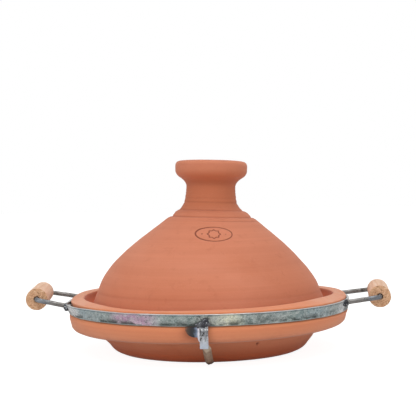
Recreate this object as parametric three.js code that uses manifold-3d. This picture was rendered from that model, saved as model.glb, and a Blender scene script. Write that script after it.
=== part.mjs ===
// A hand-thrown clay tagine, a shallow dish and a conical lid, caged in a steel hoop with three legs
// and two handles with wooden grips.
// Millimetres, +Z up. The origin is the centre of the dish's flat underside, and the front leg is at -Y.
import * as THREE from 'three';
import { mergeVertices } from 'three/addons/utils/BufferGeometryUtils.js';
import Module from 'manifold-3d';

const wasm = await Module();
wasm.setup();

// Driving dimensions
const turns = 48; // facets round every large turned piece
const gap = 0.3; // clearance between pieces that touch or are welded

const dishBaseRadius = 99;
const dishFloor = 11.5; // thickness of the dish's bottom
const rimHeight = 58.4; // at its inner edge
const rimInner = 138;
const rimLip = 152.3; // outer radius of the rim's top, above the hoop
const rimLipHeight = 57;
const rimBelt = 151.4; // outer radius where the hoop sits
const rimBulge = 154.6; // outer radius just below the hoop
const ledgeHeight = 44.2; // the lid stands on this ledge

const lidSeat = ledgeHeight + gap;
const lidRadius = 130.5;
const lidWall = 10.5;
const lidLean = 0.037; // slope of the lid's axis towards +X, which grows from nothing at its seat
const lidLeanHeight = 60; // the lean is complete this far above the seat
const shoulderPress = 3.2; // the lid isn't quite round: its left shoulder is this much flatter
const knobTop = 207.7;
const knobRadius = 40.2;
const knobCupRadius = 27;
const knobCupDepth = 9;
const neckRadius = 27.4;
const neckBore = 13;

const hoopInner = 151.9;
const hoopThick = 2.5;
const hoopBottom = 43.7;
const hoopTop = 55.3;
const hoopSplay = 1.1; // the hoop's top stands out this much further than its bottom
const hoopBulge = 4.4; // extra, at the left handle's front weld, where the bar was pulled outwards
const hoopBulgeAngle = THREE.MathUtils.degToRad(-160);
const hoopBulgeAhead = THREE.MathUtils.degToRad(24); // the arc that the pull reaches towards the front
const hoopBulgeBehind = THREE.MathUtils.degToRad(15); // and towards the back

const rodRadius = 2.5;
const armSpacing = 94; // between the two arms of a handle
const rodBend = 6;
const gripRadius = 11.75;
const gripLength = 82;
const gripBore = 3.2;
const gripCentre = 189.7; // from the pot's axis
const gripHeight = 58.75;
const gripTilt = 1.35; // bent by hand: the left grip is this much higher and the right one lower
const gripSplay = THREE.MathUtils.degToRad(7); // each grip's back end stands out
const weldHeight = 52.2; // where the arms meet the hoop

const tabWidth = 8.2;
const tabThick = 2.2;
const tabTop = 50;
const tabBottom = 22.2;
const gussetRadius = 9.8;
const gussetThick = 2;
const gussetOffset = 8.6; // the half-round plate's centre, to the left of the tab's centre
const legSection = 6.5;
const legTurn = THREE.MathUtils.degToRad(35); // the bar is turned on its own axis, so an edge faces out
const legTopRadius = 155;
const legTopHeight = 21.5;
const footRadius = 115.9; // the middle of the bar's square-cut lower end
const footHeight = 4.15; // its lowest corner is then on the floor
const legShift = 3; // the bar stands this far to the right of the tab's centre
const legNames = ['front', 'back_right', 'back_left'];

// Materials
const steel = (color, roughness) => new THREE.MeshStandardMaterial({ color, roughness, metalness: 0.9 });
const clay = (color) => new THREE.MeshStandardMaterial({ color, roughness: 0.85, metalness: 0 });
const lidClay = clay(0xd6896b);
const dishClay = clay(0xcd805d);
const hoopSteel = steel(0x969b96, 0.45);
const rodSteel = steel(0x7d7b78, 0.5);
const tabSteel = steel(0xb0b4b8, 0.4);
const legSteel = steel(0x7e7361, 0.6);
const weldSteel = steel(0x4b4a4f, 0.65);
const gripWood = new THREE.MeshStandardMaterial({ color: 0xe0b890, roughness: 0.75, metalness: 0 });

// Solids from geometries, and back
function toSolid(geometry) {
  const bare = geometry.index ? geometry.toNonIndexed() : geometry.clone();
  bare.deleteAttribute('normal');
  bare.deleteAttribute('uv');
  const merged = mergeVertices(bare, 1e-4);
  const vertProperties = new Float32Array(merged.attributes.position.array);
  const triVerts = new Uint32Array(merged.index.array);
  return new wasm.Manifold(new wasm.Mesh({ numProp: 3, vertProperties, triVerts }));
}

function toGeometry(solid) {
  const mesh = solid.getMesh();
  const geometry = new THREE.BufferGeometry();
  geometry.setAttribute('position', new THREE.BufferAttribute(new Float32Array(mesh.vertProperties), 3));
  geometry.setIndex(new THREE.BufferAttribute(new Uint32Array(mesh.triVerts), 1));
  return geometry;
}

function named(name, solid, material) {
  const geometry = toGeometry(solid);
  geometry.computeVertexNormals();
  const mesh = new THREE.Mesh(geometry, material);
  mesh.name = name;
  return mesh;
}

// Moves every vertex of a geometry with a function of its position.
function bend(geometry, move) {
  const place = geometry.attributes.position;
  const point = new THREE.Vector3();
  for (let i = 0; i < place.count; i += 1) {
    point.fromBufferAttribute(place, i);
    move(point);
    place.setXYZ(i, point.x, point.y, point.z);
  }
  return geometry;
}

// Turns an outline, radius and height, about the Z axis. It runs anticlockwise, from the axis outwards.
function turned(points, facets = turns) {
  const geometry = new THREE.LatheGeometry(points, facets);
  geometry.rotateX(Math.PI / 2);
  return geometry;
}

// The dish: flat bottom, rounded foot, thick upright rim, ledge for the lid, and a bowl inside.
function dish() {
  const line = new THREE.Path();
  line.moveTo(0, 0);
  line.lineTo(dishBaseRadius, 0);
  line.quadraticCurveTo(105, 0, 110.5, 7.5);
  line.lineTo(124.2, 23.6);
  line.quadraticCurveTo(125.6, 25.3, 128, 25.3);
  line.lineTo(141, 25.5);
  line.quadraticCurveTo(151.6, 26, 152.8, 32);
  line.lineTo(rimBulge, 38.5);
  line.quadraticCurveTo(rimBulge + 0.2, 43, rimBelt, hoopBottom - 0.4);
  line.lineTo(rimBelt, 50);
  line.lineTo(rimLip, rimLipHeight - 1.6);
  line.quadraticCurveTo(rimLip, rimLipHeight, rimLip - 1.6, rimLipHeight + 0.1);
  line.lineTo(rimInner + 1.4, rimHeight);
  line.quadraticCurveTo(rimInner, rimHeight, rimInner, rimHeight - 1.4);
  line.lineTo(rimInner - 1, ledgeHeight + 2);
  line.quadraticCurveTo(rimInner - 1.2, ledgeHeight, rimInner - 3, ledgeHeight);
  line.lineTo(119.5, ledgeHeight);
  line.quadraticCurveTo(116.5, ledgeHeight, 115, 40);
  line.quadraticCurveTo(106, dishFloor + 1, 72, dishFloor);
  line.lineTo(0, dishFloor);
  return named('dish', toSolid(turned(line.getPoints(3))), dishClay);
}

// The lid's outer cone, from the collar's foot to just above the bottom edge.
function coneLine() {
  const points = [
    [51, 143.2],
    [67.8, 129.9],
    [84, 116.5],
    [98, 103],
    [109.8, 89.6],
    [118.7, 76.2],
    [124.6, 62],
    [lidRadius - 1, 49],
  ];
  return new THREE.SplineCurve(points.map(([radius, height]) => new THREE.Vector2(radius, height)));
}

// The same cone one wall thickness further in, from the bottom upwards.
function innerCone(steps) {
  const cone = coneLine();
  const inner = [];
  for (let i = steps; i >= 0; i -= 1) {
    const place = cone.getPoint(i / steps);
    const along = cone.getTangent(i / steps);
    inner.push(new THREE.Vector2(place.x + along.y * lidWall, place.y - along.x * lidWall));
  }
  return inner;
}

// How far the lid's left shoulder is pressed in at a point, most just below the collar.
function leftPress(point) {
  const rise = THREE.MathUtils.smoothstep(point.z, 72, 135);
  const fall = 1 - THREE.MathUtils.smoothstep(point.z, 146, 158);
  const leftness = -point.x / Math.max(Math.hypot(point.x, point.y), 1);
  return shoulderPress * rise * fall * THREE.MathUtils.smoothstep(leftness, 0.1, 1);
}

// The lid: cup-topped knob, waisted neck, stepped collar, cone, and the hollow inside up into the neck.
function lid() {
  const knob = new THREE.Path();
  knob.moveTo(0, knobTop - knobCupDepth);
  knob.quadraticCurveTo(18, knobTop - knobCupDepth, knobCupRadius, knobTop - 2);
  knob.quadraticCurveTo(knobCupRadius + 1.5, knobTop, knobCupRadius + 4, knobTop);
  knob.lineTo(knobRadius - 5.5, knobTop - 0.3);
  knob.quadraticCurveTo(knobRadius, knobTop - 0.8, knobRadius, knobTop - 6.2);
  knob.lineTo(knobRadius - 0.2, knobTop - 11.5);
  knob.quadraticCurveTo(knobRadius - 0.8, knobTop - 16.3, knobRadius - 6, knobTop - 19.2);
  knob.quadraticCurveTo(neckRadius + 1, knobTop - 23, neckRadius, 180);
  knob.quadraticCurveTo(neckRadius, 165, 30.8, 158.5);
  knob.quadraticCurveTo(33, 154.5, 37, 152.6);
  knob.lineTo(41, 150.4);
  knob.lineTo(44.6, 146.2);
  knob.lineTo(46.2, 145.6);
  knob.lineTo(51, 143.2);
  const edge = new THREE.Path();
  edge.moveTo(lidRadius - 1, 49);
  edge.quadraticCurveTo(lidRadius, lidSeat, lidRadius - 3.5, lidSeat);
  edge.lineTo(lidRadius - 8, lidSeat);
  edge.quadraticCurveTo(lidRadius - 11, lidSeat, lidRadius - 11.5, lidSeat + 4);
  const bore = new THREE.Path();
  bore.moveTo(neckBore + 4, 158);
  bore.quadraticCurveTo(neckBore, 163, neckBore, 170);
  bore.lineTo(neckBore, 177);
  bore.quadraticCurveTo(neckBore - 1, 184, 0, 184.5);
  const points = [
    ...knob.getPoints(3),
    ...coneLine().getPoints(12).slice(1),
    ...edge.getPoints(2).slice(1),
    ...innerCone(7).slice(1, -1),
    ...bore.getPoints(2),
  ];
  const geometry = turned(points.reverse());
  bend(geometry, (point) => {
    const radius = Math.hypot(point.x, point.y);
    const kept = 1 - leftPress(point) / Math.max(radius, 1);
    point.x *= kept;
    point.y *= kept;
    const rise = point.z - lidSeat;
    const tilt = lidLean * THREE.MathUtils.smoothstep(rise, 0, lidLeanHeight);
    const acrossBefore = point.x;
    point.x += lidLean * rise * THREE.MathUtils.smoothstep(rise, -lidLeanHeight, lidLeanHeight);
    point.z -= tilt * acrossBefore;
  });
  return named('lid', toSolid(geometry), lidClay);
}

// How far the hoop's bar leans out at an angle round the pot and a height up the bar.
function hoopOut(angle, height) {
  const past = THREE.MathUtils.euclideanModulo(angle - hoopBulgeAngle + Math.PI, 2 * Math.PI) - Math.PI;
  const reach = past > 0 ? hoopBulgeAhead : hoopBulgeBehind;
  const pull = hoopBulge * (1 - THREE.MathUtils.smoothstep(Math.abs(past), reach / 4, reach));
  return (hoopSplay + pull) * ((height - hoopBottom) / (hoopTop - hoopBottom));
}

function bendWithHoop(geometry) {
  return bend(geometry, (point) => {
    const radius = Math.hypot(point.x, point.y);
    const angle = Math.atan2(point.y, point.x);
    const grown = radius + hoopOut(angle, point.z);
    point.x = grown * Math.cos(angle);
    point.y = grown * Math.sin(angle);
  });
}

// The hoop: a flat bar with eased edges, rolled into a ring.
function hoop() {
  const ease = 0.5;
  const outer = hoopInner + hoopThick;
  const line = new THREE.Path();
  line.moveTo(hoopInner, hoopBottom);
  line.lineTo(outer - ease, hoopBottom);
  line.lineTo(outer, hoopBottom + ease);
  const faceSteps = 4;
  for (let i = 1; i <= faceSteps; i += 1) {
    line.lineTo(outer, hoopBottom + ease + (i * (hoopTop - hoopBottom - 2 * ease)) / faceSteps);
  }
  line.lineTo(outer - ease, hoopTop);
  for (let i = faceSteps; i >= 0; i -= 1) {
    line.lineTo(hoopInner, hoopBottom + (i * (hoopTop - hoopBottom)) / faceSteps);
  }
  return named('hoop', toSolid(bendWithHoop(turned(line.getPoints()))), hoopSteel);
}

// Everything inside the hoop's outer face and its clearance, to cut what is welded on.
function insideHoop() {
  const reach = 14;
  const geometry = new THREE.CylinderGeometry(1, 1, 1, turns, 12).rotateX(Math.PI / 2);
  const radius = hoopInner + hoopThick + gap;
  geometry.scale(radius, radius, hoopTop - hoopBottom + 2 * reach);
  geometry.rotateZ(Math.PI / 2);
  geometry.translate(0, 0, (hoopTop + hoopBottom) / 2);
  return toSolid(bendWithHoop(geometry));
}

const hoopCutter = insideHoop();

function gripPlace(side) {
  return new THREE.Vector3(side * gripCentre, 0, gripHeight - side * gripTilt);
}

// One handle's line: out from the hoop, across through the grip, and back. side is 1 right, -1 left.
function handleLine(side) {
  const half = armSpacing / 2;
  const across = new THREE.Vector3(side * Math.sin(gripSplay), Math.cos(gripSplay), 0);
  const corner = (sign) => gripPlace(side).addScaledVector(across, sign * half / Math.cos(gripSplay));
  const rootX = side * Math.sqrt(hoopInner ** 2 - half ** 2);
  const root = (sign) => new THREE.Vector3(rootX, sign * half, weldHeight);
  const rounded = (from, at, to) => {
    const start = at.clone().addScaledVector(from.clone().sub(at).normalize(), rodBend);
    const end = at.clone().addScaledVector(to.clone().sub(at).normalize(), rodBend);
    return new THREE.QuadraticBezierCurve3(start, at, end);
  };
  const stops = [root(-1), corner(-1), corner(1), root(1)];
  const frontBend = rounded(stops[0], stops[1], stops[2]);
  const backBend = rounded(stops[1], stops[2], stops[3]);
  const line = new THREE.CurvePath();
  line.add(new THREE.LineCurve3(stops[0], frontBend.v0));
  line.add(frontBend);
  line.add(new THREE.LineCurve3(frontBend.v2, backBend.v0));
  line.add(backBend);
  line.add(new THREE.LineCurve3(backBend.v2, stops[3]));
  return line;
}

function rodSolid(side, radius) {
  const section = new THREE.Shape().absarc(0, 0, radius, 0, 2 * Math.PI);
  const options = { steps: 44, curveSegments: 4, extrudePath: handleLine(side) };
  return toSolid(new THREE.ExtrudeGeometry(section, options));
}

function handleRod(name, side) {
  return named(`${name}_handle_rod`, rodSolid(side, rodRadius).subtract(hoopCutter), rodSteel);
}

// The grip: a bored dowel with eased ends, free to turn on the rod.
function grip(name, side) {
  const half = gripLength / 2;
  const ease = 0.9;
  const section = [
    [gripBore, -half],
    [gripRadius - ease, -half],
    [gripRadius, -half + ease],
    [gripRadius, half - ease],
    [gripRadius - ease, half],
    [gripBore, half],
    [gripBore, -half],
  ];
  const points = section.map(([radius, height]) => new THREE.Vector2(radius, height));
  const mesh = named(`${name}_grip`, toSolid(turned(points, 36)), gripWood);
  mesh.position.copy(gripPlace(side));
  mesh.rotation.set(-Math.PI / 2, 0, -side * gripSplay, 'ZYX');
  return mesh;
}

// A bead of weld: a flattened ball, cut back by what it joins.
function bead(centre, size, cutters) {
  const ball = new THREE.SphereGeometry(1, 12, 8).rotateX(Math.PI / 2);
  ball.scale(size.x, size.y, size.z);
  ball.rotateZ(Math.atan2(centre.y, centre.x));
  ball.translate(centre.x, centre.y, centre.z);
  return cutters.reduce((solid, cutter) => solid.subtract(cutter), toSolid(ball));
}

function handleWeld(name, side, place, sign) {
  const half = armSpacing / 2;
  const angle = Math.atan2(half, side * Math.sqrt(hoopInner ** 2 - half ** 2));
  const outer = hoopInner + hoopThick + hoopOut(angle, weldHeight);
  const centre = new THREE.Vector3(side * Math.sqrt(outer ** 2 - half ** 2), sign * half, weldHeight - 0.7);
  const cutters = [hoopCutter, rodSolid(side, rodRadius + gap)];
  const solid = bead(centre, new THREE.Vector3(4.2, 6, 5), cutters);
  return named(`${name}_${place}_weld`, solid, weldSteel);
}

// One leg, built at the front: tab on the hoop, half-round gusset, slanting bar, and the bead over the tab.
function block(width, depth, height, x, y, z) {
  return new THREE.BoxGeometry(width, depth, height).translate(x, y, z);
}

const tabFace = hoopInner + hoopThick + hoopSplay + gap; // the tab's inner face, from the pot's axis

function tabGeometry(grow) {
  const height = tabTop - tabBottom + 2 * grow;
  const middle = (tabTop + tabBottom) / 2;
  return block(tabWidth + 2 * grow, tabThick + 2 * grow, height, 0, -(tabFace + tabThick / 2), middle);
}

function legTab(name) {
  return named(`${name}_leg_tab`, toSolid(tabGeometry(0)), tabSteel);
}

function legGusset(name) {
  const shape = new THREE.Shape();
  shape.absarc(0, 0, gussetRadius, Math.PI, 2 * Math.PI);
  const options = { depth: gussetThick, bevelEnabled: false, curveSegments: 14 };
  const plate = new THREE.ExtrudeGeometry(shape, options).rotateX(Math.PI / 2);
  plate.translate(-gussetOffset, -(rimBulge + 1.5 * gap), hoopBottom - gap);
  const cutter = toSolid(tabGeometry(gap));
  return named(`${name}_leg_gusset`, toSolid(plate).subtract(cutter), tabSteel);
}

function legBar(name) {
  const top = new THREE.Vector3(legShift - 0.7, -legTopRadius, legTopHeight);
  const foot = new THREE.Vector3(legShift + 0.7, -footRadius, footHeight);
  const upwards = top.clone().sub(foot).normalize();
  const length = top.distanceTo(foot) + 2 * legSection;
  const bar = new THREE.Mesh(new THREE.BoxGeometry(legSection, legSection, length).rotateZ(legTurn));
  bar.position.copy(foot).addScaledVector(upwards, length / 2);
  bar.quaternion.setFromUnitVectors(new THREE.Vector3(0, 0, 1), upwards);
  bar.updateMatrix();
  const keep = block(40, tabFace - gap - 80, 25, 0, -(tabFace - gap + 80) / 2, 12.5);
  const solid = toSolid(bar.geometry.applyMatrix4(bar.matrix)).intersect(toSolid(keep));
  return named(`${name}_leg_bar`, solid, legSteel);
}

// Two runs of weld: a wide one at the hoop's lower edge and a narrower one above it, up over the tab's end.
function legWeld(name) {
  const underHoop = toSolid(block(40, 40, 20, 0, -tabFace, hoopBottom - 10));
  const cutters = [hoopCutter, toSolid(tabGeometry(gap)), underHoop];
  const low = bead(new THREE.Vector3(-1.6, -(tabFace + 0.5), 46.3), new THREE.Vector3(3.9, 7.6, 3.9), cutters);
  const high = bead(new THREE.Vector3(0.9, -(tabFace + 0.3), 49.8), new THREE.Vector3(3.6, 4.6, 4.2), cutters);
  return named(`${name}_leg_weld`, low.add(high), weldSteel);
}

function leg(name, turn) {
  const group = new THREE.Group();
  group.add(legTab(name), legGusset(name), legBar(name), legWeld(name));
  group.rotation.z = turn;
  return group;
}

function handle(name, side) {
  const group = new THREE.Group();
  group.add(handleRod(name, side), grip(name, side));
  group.add(handleWeld(name, side, 'front', -1), handleWeld(name, side, 'back', 1));
  return group;
}

const group = new THREE.Group();
group.add(dish(), lid(), hoop(), handle('left', -1), handle('right', 1));
legNames.forEach((name, index) => group.add(leg(name, (index * 2 * Math.PI) / legNames.length)));

export default group;
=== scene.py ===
import math

import bpy
import numpy as np
from mathutils import Matrix, Vector, noise


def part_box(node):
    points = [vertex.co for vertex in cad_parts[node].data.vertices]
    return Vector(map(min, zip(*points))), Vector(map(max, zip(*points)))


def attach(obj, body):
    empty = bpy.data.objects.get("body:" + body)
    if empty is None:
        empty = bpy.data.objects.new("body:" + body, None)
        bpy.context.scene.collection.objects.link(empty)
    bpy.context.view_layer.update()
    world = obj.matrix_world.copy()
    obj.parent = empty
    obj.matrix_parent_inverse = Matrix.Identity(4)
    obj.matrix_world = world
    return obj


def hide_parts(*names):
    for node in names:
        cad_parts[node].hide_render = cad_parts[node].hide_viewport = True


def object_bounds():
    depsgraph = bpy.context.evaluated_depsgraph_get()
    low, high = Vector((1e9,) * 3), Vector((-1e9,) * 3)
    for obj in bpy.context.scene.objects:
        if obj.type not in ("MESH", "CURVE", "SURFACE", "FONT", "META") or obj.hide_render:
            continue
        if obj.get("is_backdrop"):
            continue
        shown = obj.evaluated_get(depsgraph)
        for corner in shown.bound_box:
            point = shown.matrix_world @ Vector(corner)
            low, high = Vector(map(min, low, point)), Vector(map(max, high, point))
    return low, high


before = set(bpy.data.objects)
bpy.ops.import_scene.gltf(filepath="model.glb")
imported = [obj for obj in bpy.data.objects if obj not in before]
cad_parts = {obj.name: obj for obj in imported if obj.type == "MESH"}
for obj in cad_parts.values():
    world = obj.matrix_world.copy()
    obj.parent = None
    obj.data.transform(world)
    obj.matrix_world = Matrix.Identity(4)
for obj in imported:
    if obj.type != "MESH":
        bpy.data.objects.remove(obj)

# The looks of a hand-thrown clay tagine in its steel hoop. Lengths in the outlines are millimetres, and
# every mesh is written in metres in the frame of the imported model.
MM = 0.001
TAU = 2 * math.pi
cad_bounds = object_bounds()

dish_high = np.array(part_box("dish")[1]) / MM
hoop_low, hoop_high = (np.array(corner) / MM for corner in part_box("hoop"))

RIM_HEIGHT = dish_high[2]
RIM_INNER = 138.0
RIM_LIP = 152.3        # the rim's radius at its top, above the hoop
LIP_HEIGHT = 57.0
RIM_BELT = 151.4       # the rim's radius behind the hoop
RIM_BULGE = dish_high[0]
LEDGE = 44.2
DISH_FLOOR = 11.5

LID_SEAT = 44.5
LID_RADIUS = 130.5
LID_WALL = 10.5
LID_LEAN = 0.037       # the lid's upper part leans towards +X
LEAN_HEIGHT = 60.0
KNOB_TOP = 207.7
KNOB_RADIUS = 40.2
NECK_RADIUS = 27.4
SHOULDER_PRESS = 3.2   # its left shoulder is this much flatter
NECK_BORE = 13.0

HOOP_INNER = 151.9
HOOP_THICK = 2.5
HOOP_BOTTOM = hoop_low[2]
HOOP_TOP = hoop_high[2]
HOOP_SPLAY = 1.1
HOOP_BULGE = 4.4
BULGE_ANGLE = math.radians(-160)
BULGE_AHEAD = math.radians(24)
BULGE_BEHIND = math.radians(15)

ROD_RADIUS = 2.5
ARM_SPACING = 94.0
ROD_BEND = 6.0
GRIP_CENTRE = 189.7
GRIP_HEIGHT = 58.75
GRIP_TILT = 1.35       # the left grip is this much higher and the right one lower
GRIP_SPLAY = math.radians(7)
GRIP_RADIUS = 11.75
GRIP_LENGTH = 82.0
GRIP_BORE = 3.2
WELD_HEIGHT = 52.2

TAB_WIDTH = 8.2
TAB_THICK = 2.2
TAB_TOP = 50.0
TAB_BOTTOM = 23.0
TAB_FACE = HOOP_INNER + HOOP_THICK + HOOP_SPLAY + 0.3
GUSSET_RADIUS = 9.8
GUSSET_THICK = 2.0
GUSSET_OFFSET = 8.6
LEG_SECTION = 6.5
LEG_TURN = math.radians(35)
LEG_TURNS = {"front": 0, "back_right": TAU / 3, "back_left": 2 * TAU / 3}

STAMP_ANGLE = math.radians(-85)
STAMP_HEIGHT = 128.5
STAMP_WIDTH = 39.0
STAMP_DEPTH = 22.0
STAR_RADIUS = 7.0
SHADED_SIDE_ANGLE = math.radians(-36)    # the lower right side of the lid, painted a little darker as shade
PIT_ANGLE = math.radians(-64.5)
PIT_HEIGHT = 18.7
PIT_RADIUS = 121       # the dish's radius at the pit


# ---------------------------------------------------------------- outlines and meshes
def smoothstep(value, low, high):
    t = np.clip((value - low) / (high - low), 0, 1)
    return t * t * (3 - 2 * t)


def run_along(points):
    """How far along a line of points each one is."""
    return np.concatenate([[0], np.cumsum(np.linalg.norm(np.diff(points, axis=0), axis=1))])


def curved(start, control, end):
    """A smooth bend from start to end, as a function of t from 0 to 1."""
    return lambda t: (1 - t) ** 2 * start + 2 * t * (1 - t) * control + t * t * end


def wrapped(angle):
    """The same angle between minus half a turn and half a turn."""
    return np.mod(angle + math.pi, TAU) - math.pi


class Outline:
    """A line of points, radius and height, drawn with straight and curved stretches at a steady spacing."""

    def __init__(self, start, spacing):
        self.points = [np.array(start, float)]
        self.spacing = spacing

    def along(self, place):
        """Adds points on place(t), t from 0 to 1, about one spacing apart."""
        rough = np.linspace(0, 1, 33)
        length = run_along(np.array([place(t) for t in rough]))
        count = max(2, round(length[-1] / self.spacing))
        for wanted in np.linspace(0, length[-1], count + 1)[1:]:
            self.points.append(place(np.interp(wanted, length, rough)))
        return self

    def line(self, *end):
        start = self.points[-1]
        return self.along(lambda t: start + (np.array(end) - start) * t)

    def curve(self, control_radius, control_height, *end):
        control = np.array([control_radius, control_height])
        return self.along(curved(self.points[-1], control, np.array(end)))

    def array(self):
        return np.array(self.points)


def spline_point(knots, t):
    """A point on the Catmull-Rom curve through knots, which the lid's cone follows."""
    spot = t * (len(knots) - 1)
    index = min(int(spot), len(knots) - 2)
    w = spot - index
    p0, p1 = knots[max(index - 1, 0)], knots[index]
    p2, p3 = knots[index + 1], knots[min(index + 2, len(knots) - 1)]
    v0, v1 = (p2 - p0) / 2, (p3 - p1) / 2
    return (2 * p1 - 2 * p2 + v0 + v1) * w ** 3 + (3 * p2 - 3 * p1 - 2 * v0 - v1) * w ** 2 + v0 * w + p1


def outline_normals(points):
    """Unit vectors to the right of the way an outline runs."""
    way = np.gradient(points, axis=0)
    way /= np.maximum(np.linalg.norm(way, axis=1), 1e-9)[:, None]
    return np.column_stack([way[:, 1], -way[:, 0]])


def angle_row(count, centre, half, closer):
    """Angles round a turned piece, closer together within half of centre, with no sudden change."""
    fine = np.linspace(-math.pi, math.pi, 20000)
    density = 1 + (closer - 1) * smoothstep(-np.abs(fine - centre), -1.6 * half, -half)
    place = np.concatenate([[0], np.cumsum((density[1:] + density[:-1]) / 2)])
    total = round(count * place[-1] / len(fine))
    return np.interp(np.arange(total) / total * place[-1], place, fine)


def add_object(name, data):
    made = bpy.data.objects.new(name, data)
    bpy.context.scene.collection.objects.link(made)
    return made


def skin(name, rings, joined=False):
    """A closed mesh over rings of points in millimetres. Its ends are closed, or joined to each other."""
    rows, columns = rings.shape[:2]
    points = rings.reshape(-1, 3)
    index = np.arange(rows * columns).reshape(rows, columns)
    lower = index if joined else index[:-1]
    upper = np.roll(index, -1, axis=0) if joined else index[1:]
    across = lambda ring: np.roll(ring, -1, axis=-1)
    quads = np.stack([lower, across(lower), across(upper), upper], axis=-1).reshape(-1, 4)
    faces = quads.tolist()
    if not joined:
        points = np.vstack([points, rings[0].mean(0), rings[-1].mean(0)])
        first, last = len(points) - 2, len(points) - 1
        faces += [[first, b, a] for a, b in zip(index[0], across(index[0]))]
        faces += [[last, a, b] for a, b in zip(index[-1], across(index[-1]))]
    mesh = bpy.data.meshes.new(name)
    mesh.from_pydata((points * MM).tolist(), [], faces)
    mesh.shade_smooth()
    mesh.update()
    return add_object(name, mesh)


def face_outwards(piece):
    """Turns a closed mesh's faces outwards, judged by the volume that they enclose."""
    mesh = piece.data
    mesh.calc_loop_triangles()
    corners = np.array([[mesh.vertices[i].co for i in t.vertices] for t in mesh.loop_triangles])
    volume = np.einsum("ij,ij->", corners[:, 0], np.cross(corners[:, 1], corners[:, 2]))
    if volume < 0:
        mesh.flip_normals()
    return piece


def mark(piece, name, values):
    """Stores a number per vertex, which the piece's material reads."""
    attribute = piece.data.attributes.new(name, "FLOAT", "POINT")
    padded = np.zeros(len(piece.data.vertices), np.float32)
    padded[: values.size] = values.ravel()
    attribute.data.foreach_set("value", padded)


def waves(place, seed, count, shortest, longest):
    """A smooth random line, about -1 to 1, along place, made of sine waves of these lengths."""
    random = np.random.default_rng(seed)
    lengths = np.exp(random.uniform(math.log(shortest), math.log(longest), count))
    shifts = random.uniform(0, TAU, count)
    total = sum(np.sin(TAU * place / length + shift) for length, shift in zip(lengths, shifts))
    return total / math.sqrt(count / 2) / 1.6


def finish_piece(piece, body, node, look):
    face_outwards(piece)
    piece.data.materials.append(look)
    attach(piece, body)
    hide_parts(node)
    return piece


def turn_rings(points, angles):
    """Rings of an outline turned about Z, shape rows by angles by 3."""
    radius = points[:, :1]
    height = np.repeat(points[:, 1:], len(angles), axis=1)
    return np.stack([radius * np.cos(angles), radius * np.sin(angles), height], axis=-1)


def outward(points, angles):
    """The outline's normals, turned in the same way."""
    return turn_rings(outline_normals(points), angles)


def throwing_lines(points, angles, seed, depth):
    """Shallow ridges left by the fingers: they follow the outline, climb a little each turn, and fade."""
    place = run_along(points)[:, None] + 1.5 * angles / TAU
    fade = 0.6 + 0.4 * np.sin(angles * 2 + place / 17 + seed)
    fine = waves(place, seed, 26, 2.2, 7)
    broad = waves(place, seed + 1, 9, 12, 40)
    lump = waves(place * 0.4 + 60 * np.sin(angles + seed), seed + 2, 6, 45, 120)
    return depth * (0.55 * fine * fade + 0.9 * broad + 0.8 * lump)


# ---------------------------------------------------------------- clay
def dish_outline():
    line = Outline((1.5, 0), 2.6)
    line.line(99, 0)
    line.spacing = 1.1
    line.curve(105, 0, 110.5, 7.5).line(124.2, 23.6).curve(125.6, 25.3, 128, 25.3).line(141, 25.5)
    line.curve(151.6, 26, 152.8, 32).line(RIM_BULGE, 38.5)
    line.curve(RIM_BULGE + 0.2, 43, RIM_BELT, HOOP_BOTTOM - 0.4).line(RIM_BELT, 50)
    line.line(RIM_LIP, LIP_HEIGHT - 1.6)
    line.spacing = 0.6
    line.curve(RIM_LIP, LIP_HEIGHT, RIM_LIP - 1.6, LIP_HEIGHT + 0.1).line(RIM_INNER + 1.4, RIM_HEIGHT)
    line.curve(RIM_INNER, RIM_HEIGHT, RIM_INNER, RIM_HEIGHT - 1.4)
    line.spacing = 1.1
    line.line(RIM_INNER - 1, LEDGE + 2)
    line.curve(RIM_INNER - 1.2, LEDGE, RIM_INNER - 3, LEDGE).line(119.5, LEDGE)
    line.curve(116.5, LEDGE, 115, 40)
    line.spacing = 2.6
    line.curve(106, DISH_FLOOR + 1, 72, DISH_FLOOR).line(1.5, DISH_FLOOR)
    return line.array()


def rim_lift(height, radius, angle):
    """How uneven the rim's top is: low in front, and high at the back and at the sides' inner edge."""
    inwards = smoothstep(-radius, -RIM_LIP, -RIM_INNER)
    behind = smoothstep(np.sin(angle), -0.2, 0.3)
    wave = 2.5 * smoothstep(np.sin(angle), -0.95, -0.5) - 1.1 * np.sin(2 * angle) - 1.1
    whole = behind * (wave + (RIM_HEIGHT - LIP_HEIGHT) * (1 - inwards))
    return (radius > 130) * smoothstep(height, 46, 57) * (whole + (1 - behind) * inwards * wave)


def gusset_soot(height, angle):
    """Smoke left on the clay round each gusset when it was welded."""
    soot = 0
    for turn in LEG_TURNS.values():
        across = wrapped(angle - turn + TAU / 4) * RIM_BULGE + GUSSET_OFFSET + 4
        soot = soot + 0.55 * np.exp(-(across / 9) ** 2 - ((height - 37) / 7) ** 2)
    return soot


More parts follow.
